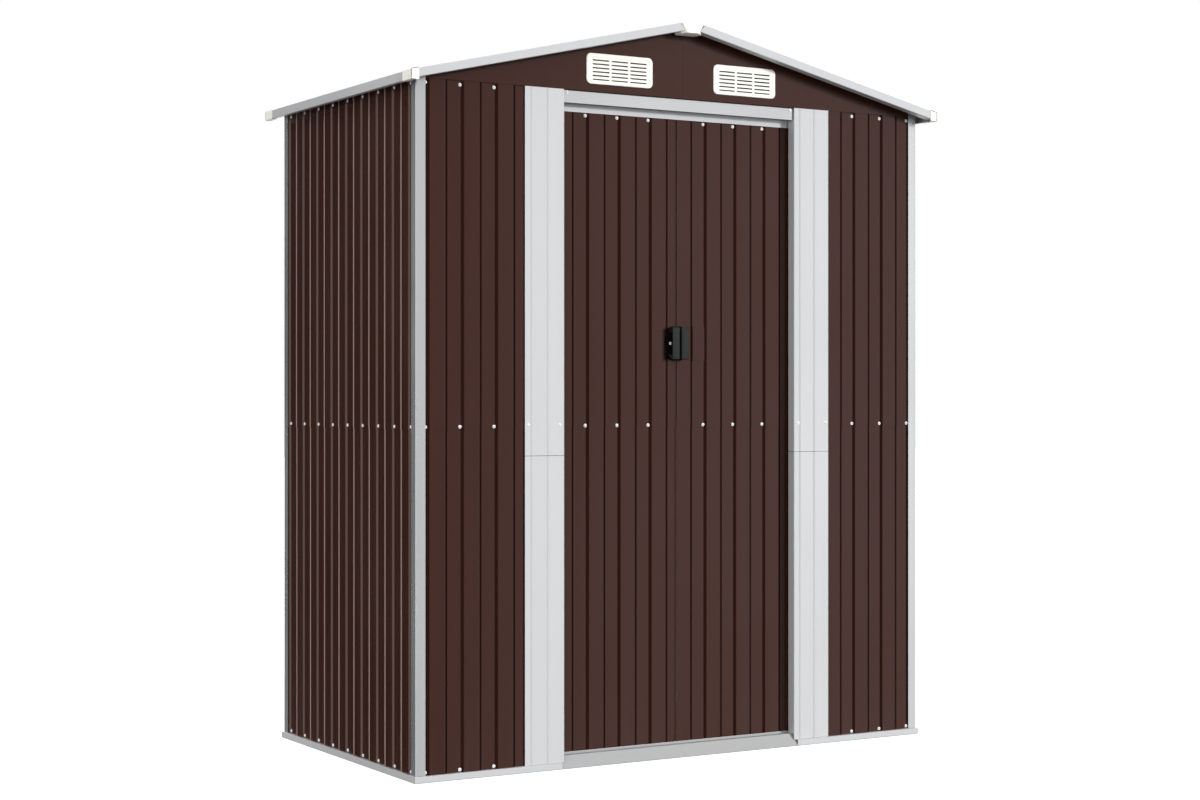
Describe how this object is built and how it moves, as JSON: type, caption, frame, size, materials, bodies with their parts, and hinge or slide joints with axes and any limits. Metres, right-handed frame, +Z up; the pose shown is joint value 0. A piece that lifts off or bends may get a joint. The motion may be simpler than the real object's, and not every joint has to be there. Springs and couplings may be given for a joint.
{
  "type": "metal tool shed",
  "caption": "Ribbed sheet-metal tool shed with a low gable roof, gable vents and a front doorway closed by sliding doors that hang from a header rail.",
  "frame": {"origin": "middle of the footprint at ground level", "axes": "+X to the right along the front, +Y from the doors towards the back wall, +Z up"},
  "size_m": [1.8786, 1.0836, 2.2308],
  "materials": {
    "brown_sheet": "satin",
    "silver_frame": "satin",
    "zinc_sill": "satin",
    "cream_plastic": "matte",
    "black_plastic": "matte",
    "glide_plastic": "matte"
  },
  "bodies": {
    "shell": {"base_rail_front": "silver_frame", "base_rail_left": "silver_frame", "base_rail_right": "silver_frame", "base_rail_back": "silver_frame", "door_ramp": "zinc_sill", "door_sill_track": "zinc_sill", "corner_post_front_left": "silver_frame", "corner_post_front_right": "silver_frame", "corner_post_back_left": "silver_frame", "corner_post_back_right": "silver_frame", "left_wall_lower": "brown_sheet", "left_wall_upper": "brown_sheet", "right_wall_lower": "brown_sheet", "right_wall_upper": "brown_sheet", "back_wall_lower": "brown_sheet", "back_wall_upper": "brown_sheet", "front_left_lower": "brown_sheet", "front_left_upper": "brown_sheet", "front_right_lower": "brown_sheet", "front_right_upper": "brown_sheet", "left_jamb": "silver_frame", "right_jamb": "silver_frame", "door_header": "silver_frame", "top_beams": "silver_frame", "wall_braces": "silver_frame", "front_gable_left": "brown_sheet", "front_gable_right": "brown_sheet", "back_gable_left": "brown_sheet", "back_gable_right": "brown_sheet", "gable_vents": "cream_plastic", "ridge_beam": "silver_frame", "roof_purlins": "silver_frame", "roof_sheet_left": "brown_sheet", "roof_sheet_right": "brown_sheet", "ridge_cap": "brown_sheet", "rake_trims": "silver_frame", "eave_trims": "silver_frame", "roof_corner_caps": "cream_plastic", "ridge_end_caps": "cream_plastic"},
    "left_door": {"left_door_sheets": "brown_sheet", "left_door_rails": "silver_frame", "left_door_handle": "black_plastic", "left_door_runners": "glide_plastic"},
    "right_door": {"right_door_sheets": "brown_sheet", "right_door_rails": "silver_frame", "right_door_handle": "black_plastic", "right_door_plate": "brown_sheet", "right_door_runners": "glide_plastic"}
  },
  "joints": [
    {"name": "left_door_slide", "type": "slide", "parent": "shell", "child": "left_door", "axis": [-1, 0, 0], "range_m": [0, 0.36]},
    {"name": "right_door_slide", "type": "slide", "parent": "shell", "child": "right_door", "axis": [1, 0, 0], "range_m": [0, 0.36]}
  ]
}
